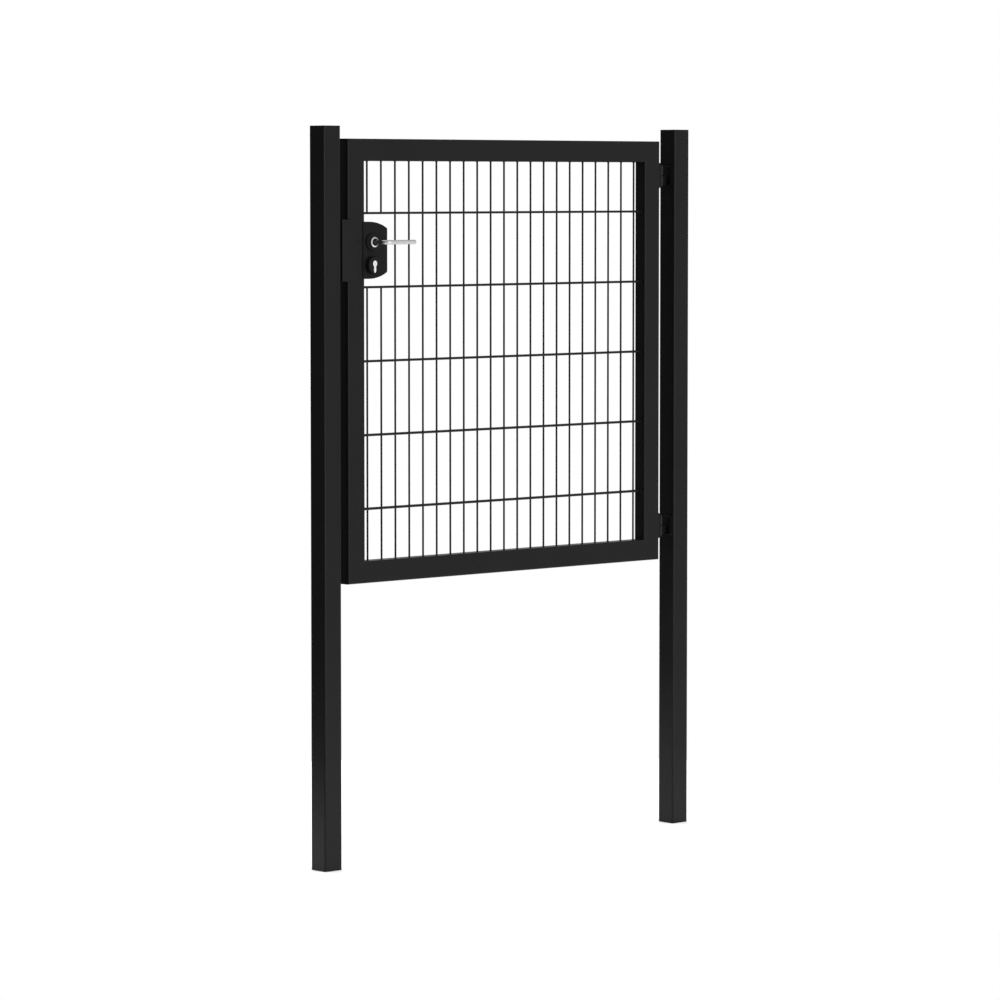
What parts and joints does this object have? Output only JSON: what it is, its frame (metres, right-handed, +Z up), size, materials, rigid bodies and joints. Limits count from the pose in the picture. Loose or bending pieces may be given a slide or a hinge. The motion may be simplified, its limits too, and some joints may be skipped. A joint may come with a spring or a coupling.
{
  "type": "steel fence gate",
  "caption": "Single-leaf steel garden gate: framed welded mesh leaf on barrel hinges between square posts, with a lever handle, key cylinder lock and keep.",
  "frame": {"origin": "centre of the hinge post's foot, on the flat end of the post", "axes": "+X from the latch post towards the hinge post and out past it, +Y from the front face to the back, +Z up along the posts"},
  "size_m": [1.37, 0.168, 2.004],
  "materials": {
    "powder_coat": "satin powder coat, near black",
    "polyamide": "fine matt polyamide, black",
    "lock_metal": "plain cast aluminium",
    "nickel_brass": "satin nickel plated brass",
    "stainless": "brushed stainless steel"
  },
  "bodies": {
    "posts": {"hinge_post": "powder_coat", "latch_post": "powder_coat", "hinge_post_cap": "polyamide", "latch_post_cap": "polyamide", "keep": "powder_coat", "upper_hinge_post_plate": "powder_coat", "lower_hinge_post_plate": "powder_coat", "upper_hinge_pin": "stainless", "lower_hinge_pin": "stainless"},
    "leaf": {"top_rail": "powder_coat", "bottom_rail": "powder_coat", "latch_stile": "powder_coat", "hinge_stile": "powder_coat", "mesh_panel": "powder_coat", "upper_hinge_leaf_plate": "powder_coat", "lower_hinge_leaf_plate": "powder_coat", "lock_case": "lock_metal", "lock_cover_front": "polyamide", "lock_cover_back": "polyamide", "cylinder_rose_front": "polyamide", "cylinder_rose_back": "polyamide", "lock_cylinder": "nickel_brass", "latch_bolt": "stainless"},
    "handle": {"handle_spindle": "stainless", "lever_front": "stainless", "lever_back": "stainless"}
  },
  "joints": [
    {"name": "gate_swing", "type": "hinge", "parent": "posts", "child": "leaf", "pos_m": [-0.056, 0, 1.37], "axis": [0, 0, -1], "range_deg": [0, 90]},
    {"name": "handle_turn", "type": "hinge", "parent": "leaf", "child": "handle", "pos_m": [-1.162, 0, 1.692], "axis": [0, 1, 0], "range_deg": [0, 40], "stiffness_Nm_per_rad": 1.2, "springref_deg": -28.65}
  ]
}
